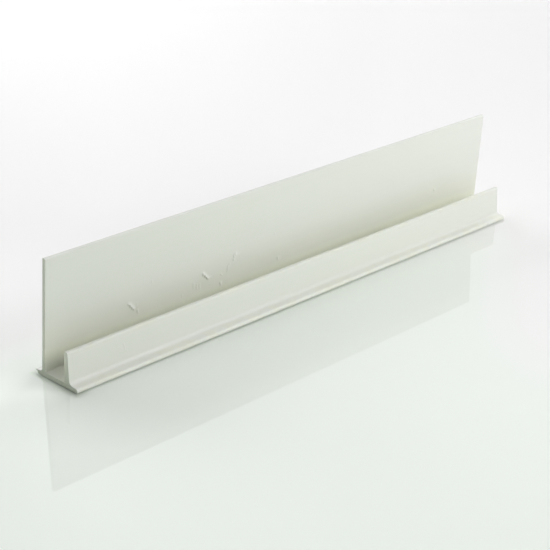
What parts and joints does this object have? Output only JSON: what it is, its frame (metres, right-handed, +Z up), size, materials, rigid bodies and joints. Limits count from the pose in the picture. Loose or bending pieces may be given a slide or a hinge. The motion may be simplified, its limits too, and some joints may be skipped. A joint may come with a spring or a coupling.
{
  "type": "cladding starter trim",
  "caption": "Straight extruded starter trim: a tall leaning fixing flange and a low front flange on a lipped base, with an open channel between them for the edge of a cladding board.",
  "frame": {"origin": "on the floor, under the middle of the trim's bounding box", "axes": "+X runs along the trim, +Y points back to the wall, -Y is the front with the low flange, +Z is up"},
  "size_m": [0.2154, 0.0206, 0.0401],
  "materials": {
    "upvc": "satin off-white rigid PVC"
  },
  "bodies": {
    "root": {"starter_trim": "upvc"}
  },
  "joints": []
}
